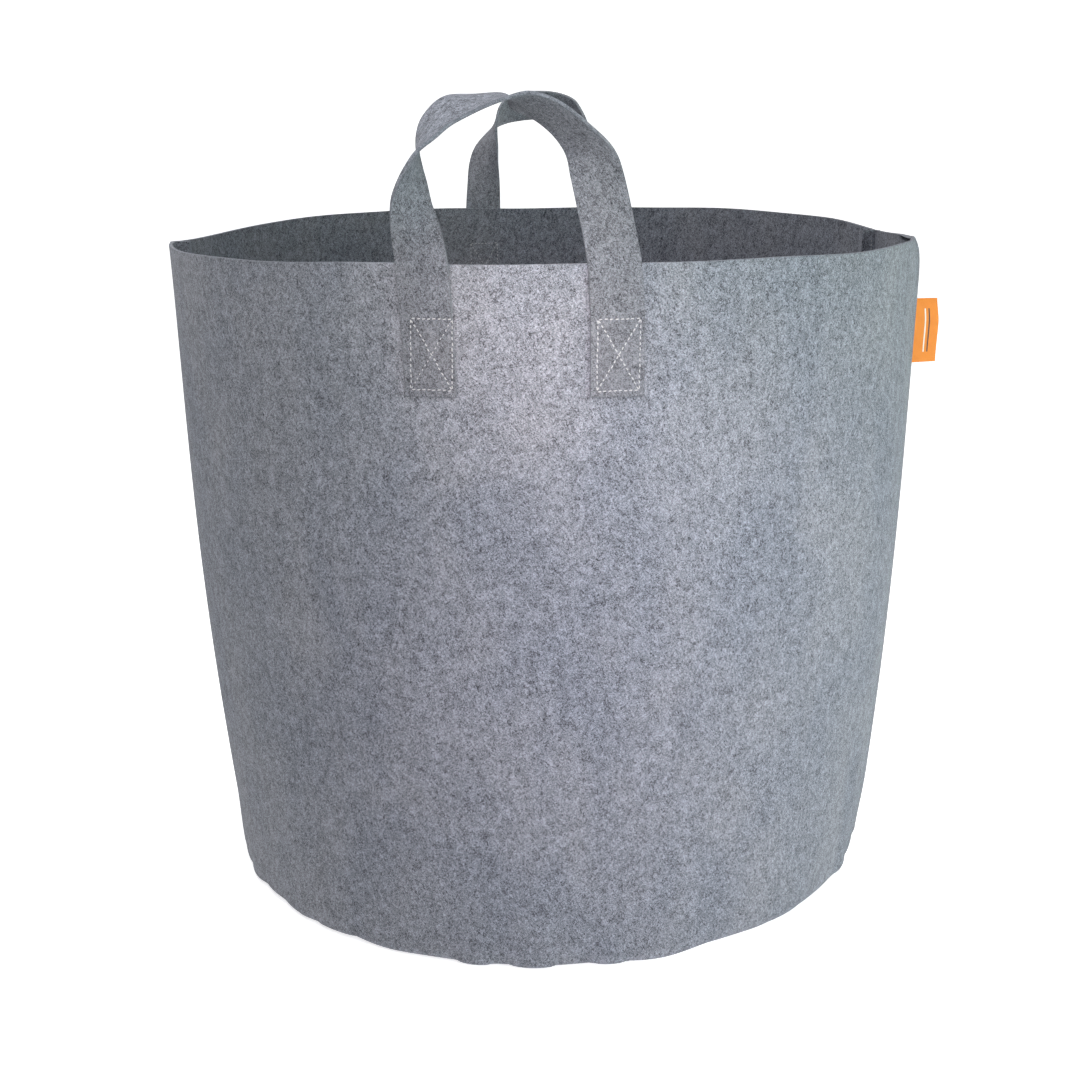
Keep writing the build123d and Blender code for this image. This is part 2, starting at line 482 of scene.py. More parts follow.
def finish_material(tree, colour, roughness, bump_height, bump_depth, bump_strength,
                    sheen, sheen_colour, specular):
    """Principled surface with a bump, wired to the output."""
    values = {"Height": bump_height, "Strength": bump_strength, "Distance": bump_depth}
    bump = node(tree, "ShaderNodeBump", values)
    values = {"Base Color": colour, "Roughness": roughness, "Normal": bump.outputs[0]}
    surface = node(tree, "ShaderNodeBsdfPrincipled", values)
    surface.inputs["Specular IOR Level"].default_value = specular
    surface.inputs["Sheen Weight"].default_value = sheen
    surface.inputs["Sheen Roughness"].default_value = 0.55
    surface.inputs["Sheen Tint"].default_value = (*sheen_colour, 1)
    node(tree, "ShaderNodeOutputMaterial", {"Surface": surface.outputs[0]})


def felt_material(name, dark, middle, light, depth):
    """Needle-punched felt of mixed grey fibres: short fibres every way, clumps and wide soft clouds."""
    material, tree = new_material(name)
    place = cloth_place(tree)
    lying = stretched_noise(tree, place, 28, 0.42, 1.05, 3.0, 1.6)
    standing = stretched_noise(tree, place, -48, 0.42, 1.15, 3.0, 1.6)
    level = stretched_noise(tree, place, 84, 0.45, 2.3, 2.0, 1.0)
    fibres = maths(tree, "ADD", maths(tree, "MULTIPLY", lying, 0.38), maths(tree, "MULTIPLY", standing, 0.32))
    fibres = maths(tree, "ADD", fibres, maths(tree, "MULTIPLY", level, 0.30))
    clumps = stretched_noise(tree, place, 10, 0.8, 0.16, 3.0, 0.8)
    clouds = stretched_noise(tree, place, 0, 0.55, 0.018, 2.0, 0.4)
    tone = maths(tree, "ADD", fibres, maths(tree, "MULTIPLY", maths(tree, "SUBTRACT", clumps, 0.5), 0.16))
    tone = maths(tree, "ADD", tone, maths(tree, "MULTIPLY", maths(tree, "SUBTRACT", clouds, 0.5), 0.055))
    colour = ramp(tree, tone, [(0.405, dark), (0.50, middle), (0.60, light)])
    hue = ramp(tree, clouds, [(0.35, (0.98, 0.99, 1.02)), (0.65, (1.02, 1.0, 0.99))])
    colour = mix_colour(tree, 1.0, colour, hue, "MULTIPLY")
    speck = stretched_noise(tree, place, 63, 0.3, 2.6, 1.0, 2.0)
    dark_specks = maths(tree, "MULTIPLY", maths(tree, "SUBTRACT", 0.36, speck, True), 6.0, True)
    colour = mix_colour(tree, dark_specks, colour, (*[c * 0.55 for c in dark], 1))
    light_specks = maths(tree, "MULTIPLY", maths(tree, "SUBTRACT", speck, 0.65, True), 5.0, True)
    colour = mix_colour(tree, light_specks, colour, (*[min(1, c * 1.35) for c in light], 1))
    roughness = maths(tree, "ADD", maths(tree, "MULTIPLY", fibres, 0.12), 0.86)
    height = maths(tree, "ADD", maths(tree, "MULTIPLY", fibres, 0.7), maths(tree, "MULTIPLY", clumps, 0.9))
    finish_material(tree, colour, roughness, height, depth, 1.0, 0.08, (0.86, 0.9, 1.0), 0.12)
    return material


def thread_material(name, colour_low, colour_high):
    """Twisted sewing thread."""
    material, tree = new_material(name)
    place = cloth_place(tree)
    turned = node(tree, "ShaderNodeMapping", {"Vector": place, "Rotation": (0, 0, math.radians(38))})
    values = {"Vector": turned.outputs[0], "Scale": 1.4, "Distortion": 0.8, "Detail": 1.0}
    twist = node(tree, "ShaderNodeTexWave", values)
    stitch = stretched_noise(tree, place, 0, 1.0, 0.3, 1.0, 0.0)
    twisted = maths(tree, "MULTIPLY", twist.outputs[1], 0.55)
    tone = maths(tree, "ADD", twisted, maths(tree, "MULTIPLY", stitch, 0.6))
    colour = ramp(tree, tone, [(0.2, colour_low), (0.8, colour_high)])
    roughness = maths(tree, "ADD", maths(tree, "MULTIPLY", stitch, 0.2), 0.5)
    finish_material(tree, colour, roughness, twist.outputs[1], 0.08 * MM, 0.6, 0.15, (1, 1, 1), 0.4)
    return material


def label_material(name):
    """Woven satin ribbon in orange, with two plain woven bands in place of any print."""
    material, tree = new_material(name)
    place = cloth_place(tree)
    split = node(tree, "ShaderNodeSeparateXYZ", {0: place})
    values = {"Vector": place, "Scale": 1.15, "Distortion": 0.4, "Detail": 2.0}
    ribs = node(tree, "ShaderNodeTexWave", values, bands_direction="Y")
    values = {"Vector": place, "Scale": 0.8, "Distortion": 0.4}
    cross = node(tree, "ShaderNodeTexWave", values, bands_direction="X")
    crossing = maths(tree, "ADD", maths(tree, "MULTIPLY", cross.outputs[1], 0.3), 0.7)
    weave = maths(tree, "MULTIPLY", ribs.outputs[1], crossing)
    fade = stretched_noise(tree, place, 0, 1.0, 0.08, 3.0, 0.0)
    tone = maths(tree, "ADD", maths(tree, "MULTIPLY", weave, 0.45), maths(tree, "MULTIPLY", fade, 0.55))
    oranges = [(0.2, (0.74, 0.20, 0.022)), (0.55, (0.86, 0.265, 0.032)), (0.85, (0.93, 0.33, 0.055))]
    colour = ramp(tree, tone, oranges)
    for middle, half, band in ((51.4, 0.55, (0.06, 0.045, 0.05)), (48.4, 0.55, (0.85, 0.80, 0.72))):
        away = maths(tree, "ABSOLUTE", maths(tree, "SUBTRACT", split.outputs[0], middle), 0.0)
        inside = maths(tree, "MULTIPLY", maths(tree, "SUBTRACT", half, away, True), 8.0, True)
        ends = maths(tree, "ABSOLUTE", maths(tree, "SUBTRACT", split.outputs[1], 0.0), 0.0)
        reach = maths(tree, "MULTIPLY", maths(tree, "SUBTRACT", 15.5, ends, True), 6.0, True)
        colour = mix_colour(tree, maths(tree, "MULTIPLY", inside, reach), colour, (*band, 1))
    roughness = maths(tree, "ADD", maths(tree, "MULTIPLY", weave, -0.15), 0.55)
    finish_material(tree, colour, roughness, weave, 0.12 * MM, 0.5, 0.04, (1, 0.85, 0.7), 0.3)
    return material


def plain_material(name, colour, roughness, glow):
    """Dull even surface that also glows white."""
    material, tree = new_material(name)
    surface = node(tree, "ShaderNodeBsdfPrincipled", {"Base Color": (*colour, 1), "Roughness": roughness})
    surface.inputs["Specular IOR Level"].default_value = 0.0
    surface.inputs["Emission Color"].default_value = (1, 1, 1, 1)
    surface.inputs["Emission Strength"].default_value = glow
    node(tree, "ShaderNodeOutputMaterial", {"Surface": surface.outputs[0]})
    return material


def shades(middle, spread):
    """Dark, middle and light shade of one felt."""
    return [tuple(c * k for c in middle) for k in (1 - spread, 1.0, 1 + spread * 1.05)]


FELT_COLOUR = (0.167, 0.177, 0.198)
felt = felt_material("felt", *shades(FELT_COLOUR, 0.82), 0.6 * MM)
# cut edges are painted lighter than the face: a painted highlight of the light caught by the fuzzy cut edge
lit_cut_edge = felt_material("felt_cut_edge_painted_highlight", *shades([c * 1.25 for c in FELT_COLOUR], 0.6), 0.5 * MM)
# the front strap is the same felt as the walls and the back strap, painted darker: painted shade; its cut edge
# is darkened with it and kept lighter than its face, a painted highlight
strap_felt_painted_shade = felt_material("strap_felt_painted_shade", *shades([c * 0.72 for c in FELT_COLOUR], 0.82), 0.6 * MM)
strap_edge_painted_shade_and_highlight = felt_material("strap_cut_edge_painted_shade_and_highlight", *shades([c * 0.80 for c in FELT_COLOUR], 0.6), 0.5 * MM)
thread = thread_material("sewing_thread", (0.24, 0.245, 0.25), (0.49, 0.495, 0.50))
ribbon = label_material("label_ribbon")


# ---------------------------------------------------------------- stitch patterns

BOX_CORNERS = ((-1, 1), (1, 1), (1, -1), (-1, -1))


def box_lines(lean):
    """The four sides and two diagonals of a crossed box of stitching, as pairs of (x, z) about its centre."""
    corners = [(BOX_WIDTH / 2 * x + lean * BOX_HEIGHT / 2 * z, BOX_HEIGHT / 2 * z) for x, z in BOX_CORNERS]
    sides = [(corners[k], corners[(k + 1) % 4]) for k in range(4)]
    return sides + [(corners[0], corners[2]), (corners[1], corners[3])]


def line_stitches(start, end, pitch, jitter):
    """Start and end points of the stitches along one straight line."""
    start, end = np.array(start), np.array(end)
    length = np.linalg.norm(end - start)
    count = max(2, int(round(length / pitch)))
    direction = (end - start) / length
    step = length / count
    at = (np.arange(count) + 0.5) * step
    half = STITCH_LENGTH / 2
    shift = random_state.normal(0, jitter, (count, 2))
    middle = start + direction * at[:, None] + shift
    slant = np.array([-direction[1], direction[0]]) * 0.12 * MM
    return middle - direction * half - slant, middle + direction * half + slant


BOXES = {}
BOX_PLACES = {
    "front_left": (-55.8 * MM, -1, FRONT_RIM - 47.3 * MM, 0.03),
    "front_right": (43.3 * MM, -1, FRONT_RIM - 47.8 * MM, 0.02),
    "back_left": (-53.0 * MM, 1, BACK_RIM - 47.5 * MM, -0.01),
    "back_right": (46.5 * MM, 1, BACK_RIM - 47.5 * MM, 0.01),
}
for box_name, (box_x, box_facing, box_z, box_lean) in BOX_PLACES.items():
    runs = []
    for line_start, line_end in box_lines(box_lean):
        run_starts, run_ends = line_stitches(line_start, line_end, STITCH_PITCH, 0.10 * MM)
        runs.append((run_starts + (box_x, box_z), run_ends + (box_x, box_z)))
    BOXES[box_name] = {"x": box_x, "z": box_z, "facing": box_facing, "runs": runs, "lean": box_lean}


def stitch_dip(x, z, facing):
    """How deep the sewing pulls the felt in at places on the front or back wall, in metres."""
    dip = np.zeros_like(x)
    for box in BOXES.values():
        if box["facing"] != facing:
            continue
        near = (np.abs(x - box["x"]) < 25 * MM) & (np.abs(z - box["z"]) < 32 * MM)
        if not near.any():
            continue
        place = np.stack([x[near] - box["x"], z[near] - box["z"]], axis=1)
        closest = np.full(len(place), 1.0)
        for line_start, line_end in box_lines(box["lean"]):
            start, along = np.array(line_start), np.array(line_end) - np.array(line_start)
            share = np.clip((place - start) @ along / (along @ along), 0, 1)
            closest = np.minimum(closest, np.linalg.norm(place - start - share[:, None] * along, axis=1))
        dip[near] = np.maximum(dip[near], 0.35 * MM * np.exp(-(closest / (1.7 * MM)) ** 2))
    return dip


# ---------------------------------------------------------------- wall panels and base

def panel_columns(start, end):
    """Columns of a panel: angle, depth in from the outer face, distance along the wall, flap share."""
    columns = []
    for share in (1.0, 0.94, 0.75, 0.5, 0.25):
        columns.append((start, SEAM_ROUND, LAYER_GAP, share))
    for k in range(7):
        angle = math.pi / 2 * k / 6
        along = LAYER_GAP + SEAM_ROUND * (1 - math.cos(angle))
        columns.append((start, SEAM_ROUND * (1 - math.sin(angle)), along, 0))
    margin = (SEAM_ROUND + LAYER_GAP) / RIM_RADIUS
    count = int((end - start) * RIM_RADIUS / (3.6 * MM))
    for k in range(1, count):
        share = k / count
        columns.append((start + margin + (end - start - 2 * margin) * share, 0, 0, 0))
    for angle, depth, along, share in columns[:12][::-1]:
        columns.append((end, depth, -along, share))
    return np.array(columns)


def wall_panel(name, start, end):
    """One wall panel as a thick sheet that turns in at both side seams and rolls under to the base seam."""
    columns = panel_columns(start, end)
    rows = np.arange(len(MERIDIAN))
    theta = np.repeat(columns[:, 0:1], len(rows), axis=1)
    row = np.repeat(rows[None, :], len(columns), axis=0)
    radius, height, normal = wall_points(theta, row)
    flap_room = 0.8 * MM + (ALLOWANCE - 0.8 * MM) * smoothstep(20 * MM, 40 * MM, height)
    depth = columns[:, 1:2] + columns[:, 3:4] * flap_room
    along = columns[:, 2:3]
    flat_radius = radius - depth * normal[..., 0]
    level = height - depth * normal[..., 1]
    x = flat_radius * np.cos(theta) - along * np.sin(theta)
    y = flat_radius * np.sin(theta) + along * np.cos(theta)
    outer = np.stack([x, y, level], axis=-1)
    facing = grid_normals(outer)
    middle = facing[len(columns) // 2, len(rows) // 2]
    outward = outer[len(columns) // 2, len(rows) // 2] * (1, 1, 0)
    if middle @ outward < 0:
        facing = -facing
    dip = stitch_dip(outer[..., 0], outer[..., 2], -1 if name.startswith("front") else 1)
    inner = outer - facing * (FELT - dip)[..., None]
    across = distance_along(outer[:, 90])
    cloth = np.zeros_like(outer)
    cloth[..., 0] = across[:, None]
    cloth[..., 1] = MERIDIAN_LENGTH[None, :]
    cloth[..., 2] = 0.3 if name.startswith("front") else 7.3
    return felt_sheet(name, outer, inner, cloth, [felt, lit_cut_edge])


front_panel = wall_panel("front_wall_panel", LEFT_SEAM, RIGHT_SEAM + 2 * math.pi)
back_panel = wall_panel("back_wall_panel", RIGHT_SEAM, LEFT_SEAM)


def base_sheet():
    """Round base whose edge turns up inside, beside the wall's turned-in edge."""
    edge = SEAM_RADIUS - LAYER_GAP
    line = [(edge * share - SEAM_ROUND * share, 0.0) for share in np.linspace(0.004, 1, 56)]
    for k in range(1, 7):
        angle = -math.pi / 2 + math.pi / 2 * k / 6
        x = edge - SEAM_ROUND + SEAM_ROUND * math.cos(angle)
        line.append((x, SEAM_ROUND + SEAM_ROUND * math.sin(angle)))
    line += [(edge, SEAM_ROUND + ALLOWANCE * share) for share in (0.25, 0.5, 0.75, 0.94, 1.0)]
    line = np.array(line)
    count = 360
    theta = np.linspace(0, 2 * math.pi, count, endpoint=False)[:, None]
    radius = np.repeat(line[None, :, 0], count, axis=0)
    height = np.repeat(line[None, :, 1], count, axis=0)
    share = np.clip(radius / edge, 0, 1)
    waves = wobble(theta * np.ones_like(share) + 2 * share, 41, (1, 2, 3, 5))
    lift = (1.0 + 0.7 * waves) * 1.6 * MM * np.sin(math.pi * share) ** 2
    height = height + np.clip(lift, 0, None) * (line[None, :, 1] == 0)
    outer = np.stack([radius * np.cos(theta), radius * np.sin(theta), height], axis=-1)
    closed = np.concatenate([outer, outer[:1], outer[1:2]])
    facing = grid_normals(np.concatenate([outer[-1:], closed]))[1:count + 1]
    if facing[0, 20, 2] > 0:
        facing = -facing
    inner = outer - facing * FELT
    cloth_outer = np.stack([outer[..., 0], outer[..., 1] + height, np.full(height.shape, 14.3)], axis=-1)
    return ring_sheet("base_disc_felt", outer, inner, cloth_outer, [felt, lit_cut_edge])


def ring_sheet(name, outer, inner, cloth, materials):
    """Closed round sheet between two grids that join up round the axis, filled at the centre."""
    around, along = outer.shape[:2]
    count = around * along
    k = np.arange(around)
    following = (k + 1) % around
    vertices = np.concatenate([outer.reshape(-1, 3), inner.reshape(-1, 3)])
    places = np.concatenate([cloth.reshape(-1, 3), (cloth + (0, 0, 1)).reshape(-1, 3)])
    faces = []
    numbers = []
    for j in range(along - 1):
        a, b = k * along + j, following * along + j
        faces += [tuple(f) for f in np.stack([a + 1, b + 1, b, a], axis=1)]
        faces += [tuple(f + count) for f in np.stack([a, b, b + 1, a + 1], axis=1)]
        numbers += [0] * (2 * around)
    rim_out = outer[:, -1]
    rim_in = inner[:, -1]
    away = outer[:, -1] - outer[:, -2]
    away = away / np.linalg.norm(away, axis=1, keepdims=True)
    previous = k * along + along - 1
    total = 2 * count
    for share, bulge in CUT_EDGE:
        ring = rim_out * (1 - share) + rim_in * share + away * bulge * MM
        vertices = np.concatenate([vertices, ring])
        places = np.concatenate([places, cloth[:, -1] + (0, 0, 2 + share * FELT)])
        current = total + k
        ring_faces = np.stack([previous, current, current[following], previous[following]], axis=1)
        faces += [tuple(f) for f in ring_faces]
        numbers += [1] * around
        previous = current
        total += around
    last = count + k * along + along - 1
    faces += [tuple(f) for f in np.stack([previous, last, last[following], previous[following]], axis=1)]
    numbers += [1] * around
    for base, flip in ((0, False), (count, True)):
        centre = vertices[base + k * along].mean(axis=0)
        place = places[base + k * along].mean(axis=0)
        vertices = np.concatenate([vertices, centre[None]])
        places = np.concatenate([places, place[None]])
        hub = len(vertices) - 1
        for n in range(around):
            a, b = base + n * along, base + ((n + 1) % around) * along
            faces.append((a, b, hub) if flip else (b, a, hub))
            numbers.append(0)
    return make_object(name, vertices, faces, numbers, places, materials)


base = base_sheet()


# ---------------------------------------------------------------- handles

def smooth_path(points, count):
    """Points spread evenly along a smooth curve through the given ones, with their share along it."""
    points = np.array(points, dtype=float)
    middle = points[:, :3] * 0.5 + points[:, 3:] * 0.5
    knots = np.concatenate([[0], np.cumsum(np.linalg.norm(np.diff(middle, axis=0), axis=1) ** 0.5 + 1e-4)])
    ends = np.vstack([2 * points[0] - points[1], points, 2 * points[-1] - points[-2]])
    times = np.concatenate([[2 * knots[0] - knots[1]], knots, [2 * knots[-1] - knots[-2]]])
    dense = []
    for k in range(1, len(points)):
        t0, t1, t2, t3 = times[k - 1:k + 3]
        p0, p1, p2, p3 = ends[k - 1:k + 3]
        t = np.linspace(t1, t2, 40, endpoint=False)[:, None]
        a1 = (t1 - t) / (t1 - t0) * p0 + (t - t0) / (t1 - t0) * p1
        a2 = (t2 - t) / (t2 - t1) * p1 + (t - t1) / (t2 - t1) * p2
        a3 = (t3 - t) / (t3 - t2) * p2 + (t - t2) / (t3 - t2) * p3
        b1 = (t2 - t) / (t2 - t0) * a1 + (t - t0) / (t2 - t0) * a2
        b2 = (t3 - t) / (t3 - t1) * a2 + (t - t1) / (t3 - t1) * a3
        dense.append((t2 - t) / (t2 - t1) * b1 + (t - t1) / (t2 - t1) * b2)
    dense = np.vstack(dense + [points[-1:]])
    kernel = np.array([1, 2, 3, 4, 5, 4, 3, 2, 1], dtype=float)
    kernel = kernel / kernel.sum()
    for _ in range(3):
        padded = np.vstack([np.repeat(dense[:1], 4, axis=0), dense, np.repeat(dense[-1:], 4, axis=0)])
        softened = np.stack([np.convolve(padded[:, c], kernel, mode="valid") for c in range(6)], axis=1)
        softened[0], softened[-1] = dense[0], dense[-1]
        dense = softened
    middle = dense[:, :3] * 0.5 + dense[:, 3:] * 0.5
    along = distance_along(middle)
    at = np.linspace(0, along[-1], count)
    return np.stack([np.interp(at, along, dense[:, c]) for c in range(6)], axis=1), at


def strap(name, stations, facing, cloth_side, materials):
    """Handle strap between two edge lines, lying on the wall below the rim and standing free above it."""
    line, at = smooth_path([[v * MM for v in a + b] for a, b in stations], STRAP_COLUMNS)
    evenly = np.linspace(0, math.pi, STRAP_ROWS)
    shares = 0.5 - 0.5 * np.cos(evenly) * (0.9 + 0.1 * np.abs(np.linspace(-1, 1, STRAP_ROWS)))
    middle = line[None, :, :3] * (1 - shares[:, None, None]) + line[None, :, 3:] * shares[:, None, None]
    wall = wall_front(middle[..., 0], middle[..., 2], facing)
    rim = rim_height(np.arctan2(wall, middle[..., 0]))
    sewn = smoothstep(rim - 22 * MM, rim - 30 * MM, middle[..., 2])
    thickness = STRAP_FELT * (1 - 0.3 * sewn)
    rest = wall + facing * (LAYER_GAP + thickness / 2)
    below = smoothstep(rim + 16 * MM, rim - 6 * MM, middle[..., 2])
    y = middle[..., 1] * (1 - below) + rest * below
    beside = middle[..., 2] < rim + 4 * MM
    middle[..., 1] = np.where(beside, facing * np.maximum(facing * y, facing * rest), y)
    normal = grid_normals(middle)
    if normal[STRAP_ROWS // 2, 5, 1] * facing < 0:
        normal = -normal
    dip = stitch_dip(middle[..., 0], middle[..., 2], facing) * (middle[..., 2] < rim)
    outer = middle + normal * (thickness / 2 - dip)[..., None]
    inner = middle - normal * (thickness / 2)[..., None]
    cloth = np.zeros_like(outer)
    cloth[..., 0] = (shares * STRAP_WIDTH)[:, None]
    cloth[..., 1] = at[None, :]
    cloth[..., 2] = cloth_side
    return felt_sheet(name, outer, inner, cloth, materials), at[-1]


# Outer and inner edge of each strap from its left end to its right end, in millimetres. Many of the points
# were first worked out from a photograph of the bag, through the fitted camera, and then edited.
FRONT_STRAP = [
    ((-71, -241, 349), (-43, -247, 349)),
    ((-72.5, -241, 392), (-44.5, -247, 392)),
    ((-74, -241, 420), (-46, -247, 420)),
    ((-75, -247, 438), (-49.5, -243, 437)),
    ((-73.5, -255, 451), (-54.5, -239, 450)),
    ((-69.5, -261, 460), (-57, -237, 460)),
    ((-64, -264, 469), (-59.5, -236, 469)),
    ((-58, -265, 476.5), (-61, -235.5, 477)),
    ((-50, -264, 482.5), (-60.5, -236, 486)),
    ((-42.5, -263, 488.5), (-57, -237, 494)),
    ((-33, -262, 493.5), (-46.5, -238, 503)),
    ((-24, -263, 497.5), (-31.5, -236.5, 504)),
    ((-14, -264, 501), (-14.5, -235.5, 504)),
    ((-3, -262, 503.8), (-12, -236.5, 498.5)),
    ((9, -261, 501), (-5, -238.5, 495)),
    ((18.5, -260.5, 495.5), (2, -239.5, 491)),
    ((29.5, -259, 486.5), (9.5, -240.5, 484.5)),
    ((37.5, -257, 479.3), (14.5, -243, 477.5)),
    ((42.2, -254, 473), (17, -246, 471.5)),
    ((45.2, -252, 465), (18.3, -248, 464)),
    ((49, -249.5, 450), (21.3, -249, 450)),
    ((55, -245, 420), (27, -249, 420)),
    ((57, -244, 392), (28.5, -248, 392)),
    ((57, -244, 349), (28.5, -248, 349)),
]
BACK_STRAP = [
    ((-67, 242, 368), (-38.5, 248, 368)),
    ((-67, 242, 411), (-39, 248, 411)),
    ((-67, 243, 440), (-39, 248, 440)),
    ((-66, 250, 459), (-39, 246, 459)),
    ((-64, 256, 477), (-40, 243, 477)),
    ((-59.5, 261, 489), (-40, 239.5, 489)),
    ((-51, 264, 499), (-40.5, 236, 501)),
    ((-44, 264.5, 505), (-40, 235, 511)),
    ((-34, 262.5, 509), (-36, 237.5, 523)),
    ((-22, 260, 511), (-24, 240.5, 531.5)),
    ((-8, 258.5, 512), (-8, 241.5, 533)),
    ((4, 258, 511.5), (5, 242, 532.5)),
    ((14, 259, 509), (15.5, 240.5, 530)),
    ((22.5, 261, 507), (24, 238, 525.5)),
    ((31, 264, 504), (29.5, 236, 517.5)),
    ((39, 264, 499), (33.5, 235.5, 509)),
    ((47, 262.5, 492), (35, 236, 499)),
    ((54, 260.5, 483.5), (35, 239, 487)),
    ((57.5, 256, 472), (34, 243, 474)),
    ((60, 250, 456), (33, 246, 458)),
    ((61, 244, 440), (32.5, 249, 440)),
    ((61, 244, 411), (32.5, 249, 411)),
    ((61, 244, 368), (32.5, 249, 368)),
]
# the front strap takes the felt with painted shade, and a cut edge with painted shade and a painted highlight
front_strap, front_strap_length = strap("front_handle_strap", FRONT_STRAP, -1, 21.3, [strap_felt_painted_shade, strap_edge_painted_shade_and_highlight])
back_strap, back_strap_length = strap("back_handle_strap", BACK_STRAP, 1, 28.3, [felt, lit_cut_edge])


# ---------------------------------------------------------------- threads

def place_on_wall(points, facing, lift):
    """Points on the front or back wall from (x, z) pairs, moved outward from the outer face by lift."""
    x, z = points[:, 0], points[:, 1]
    y = wall_front(x, z, facing)
    flat = np.stack([x, y, np.zeros_like(x)], axis=1)
    outward = flat / np.linalg.norm(flat, axis=1, keepdims=True)
    return np.stack([x, y, z], axis=1) + outward * np.asarray(lift).reshape(-1, 1), outward


def box_threads(name, box):
    """Needle thread on the strap and bobbin thread on the wall's inner face."""
    facing = box["facing"]
    sides = {"needle": ([], [], []), "bobbin": ([], [], [])}
    for number, (starts, ends) in enumerate(box["runs"]):
        sunk = SUNK_DEPTH if (name, number) == (SUNK_BOX, SUNK_LINE) else 0.0
        for key, surface, direction in (
            ("needle", LAYER_GAP + STRAP_FELT * 0.7, 1),
            ("bobbin", -FELT, -1),
        ):
            dips = [stitch_dip(places[:, 0], places[:, 1], facing) for places in (starts, ends)]
            lifts = [surface + direction * (STITCH_LIFT - dip - sunk) for dip in dips]
            first, outward = place_on_wall(starts, facing, lifts[0])
            second = place_on_wall(ends, facing, lifts[1])[0]
            sides[key][0].append(first)
            sides[key][1].append(second)
            sides[key][2].append(outward * direction)
    made = {}
    for key, (firsts, seconds, normals) in sides.items():
        lines = [np.vstack(part) for part in (firsts, seconds, normals)]
        made[key] = stitch_object(f"{name}_box_{key}_stitches", *lines, thread)
    return made


box_threads_made = {}
for box_name, box_facts in BOXES.items():
    box_threads_made[box_name] = box_threads(box_name, box_facts)


def side_seam_stitches(name, angle, side):
    """Stitches on one flap of a side seam; side -1 is the front panel's flap at the left seam."""
    low, high = 45 * MM, rim_height(np.array([angle]))[0] - 5 * MM
    count = int((high - low) / STITCH_PITCH)
    centres = low + (np.arange(count) + 0.5) * STITCH_PITCH
    theta = np.full(count, angle)
    tangent = np.array([-math.sin(angle), math.cos(angle), 0]) * side
    ends = []
    for shift in (-STITCH_LENGTH / 2, STITCH_LENGTH / 2):
        height = centres + shift
        radius = wall_radius_at(theta, height) - FELT - 3.0 * MM
        point = np.stack([radius * math.cos(angle), radius * math.sin(angle), height], axis=1)
        ends.append(point + tangent * (FELT + LAYER_GAP + 0.02 * MM))
    normals = np.repeat(tangent[None], count, axis=0)
    return stitch_object(name, ends[0], ends[1], normals, thread)


def base_seam_stitches(name, radius, direction):
    """Ring of stitches through the two turned-up edges at the base seam."""
    count = int(2 * math.pi * radius / STITCH_PITCH)
    middle = (np.arange(count) + 0.5) / count * 2 * math.pi
    half = STITCH_LENGTH / 2 / radius
    height = SEAM_ROUND + 3.5 * MM
    ends = []
    for shift in (-half, half):
        theta = middle + shift
        ends.append(np.stack([radius * np.cos(theta), radius * np.sin(theta), np.full(count, height)], axis=1))
    normals = np.stack([np.cos(middle), np.sin(middle), np.zeros(count)], axis=1) * direction
    return stitch_object(name, ends[0], ends[1], normals, thread)


seam_threads = {}
for seam, seam_angle in (("left", LEFT_SEAM), ("right", RIGHT_SEAM)):
    for kind, flap_side in (("needle", -1), ("bobbin", 1)):
        stitches = side_seam_stitches(f"{seam}_seam_{kind}_stitches", seam_angle, flap_side)
        seam_threads[f"{seam}_seam_{kind}_thread"] = stitches
for kind, ring_radius, ring_side in (
    ("needle", SEAM_RADIUS - LAYER_GAP - FELT - 0.05 * MM, -1),
    ("bobbin", SEAM_RADIUS + FELT + 0.05 * MM, 1),
):
    stitches = base_seam_stitches(f"base_seam_{kind}_stitches", ring_radius, ring_side)
    seam_threads[f"base_seam_{kind}_thread"] = stitches


# ---------------------------------------------------------------- label

def label_piece():
    """Ribbon folded in half at its outer end, with both cut ends held in the right side seam."""
    thickness = 0.45 * MM
    gap = 0.15 * MM
    reach = label_high.x / math.cos(RIGHT_SEAM) + 1.5 * MM
    half_turn = thickness / 2 + gap / 2
    low = label_low.z
    root = wall_radius_at(np.array([RIGHT_SEAM]), np.array([low + LABEL_HEIGHT / 2]))[0] - FELT - 4 * MM
    straight = reach - root
    count = 40
    line = [(root + straight * k / count, half_turn) for k in range(count + 1)]
    for k in range(1, 8):
        angle = math.pi / 2 - math.pi * k / 8
        line.append((reach + half_turn * math.cos(angle), half_turn * math.sin(angle)))
    line += [(root + straight * k / count, -half_turn) for k in range(count, -1, -1)]
    line = np.array(line)
    along = distance_along(line)
    rows = 36
    share = np.linspace(0, 1, rows + 1)
    out = np.repeat(line[:, 0:1], rows + 1, axis=1)
    side = np.repeat(line[:, 1:2], rows + 1, axis=1)
    up = np.repeat(share[None, :], len(line), axis=0)
    past = np.clip((out - root) / straight, 0, 1.05)
    height = low + LABEL_HEIGHT * up
    height = height - (1 - up) * (1.6 - 1.2 * past) * MM + 0.8 * MM * up
    curl = -2.6 * MM * past ** 2 * (0.5 + 0.5 * np.sin(math.pi * up))
    curl = curl + 0.7 * MM * past * np.sin(1.6 * math.pi * up)
    reach_in = (1.8 * smoothstep(0.6, 1.0, up) + 0.6 * smoothstep(0.6, 0.0, up)) * MM * past ** 2
    out = out - reach_in
    middle_side = side + curl
    x = out * math.cos(RIGHT_SEAM) - middle_side * math.sin(RIGHT_SEAM)
    y = out * math.sin(RIGHT_SEAM) + middle_side * math.cos(RIGHT_SEAM)
    middle = np.stack([x, y, height], axis=-1)
    normal = grid_normals(middle)
    outer = middle + normal * thickness / 2
    inner = middle - normal * thickness / 2
    cloth = np.zeros_like(middle)
    cloth[..., 0] = np.minimum(along, along[-1] - along)[:, None]
    cloth[..., 1] = (share - 0.5)[None, :] * LABEL_HEIGHT
    cloth[..., 2] = 35.0
    return felt_sheet("folded_label", outer, inner, cloth, [ribbon, ribbon]), along[-1]


label, label_length = label_piece()
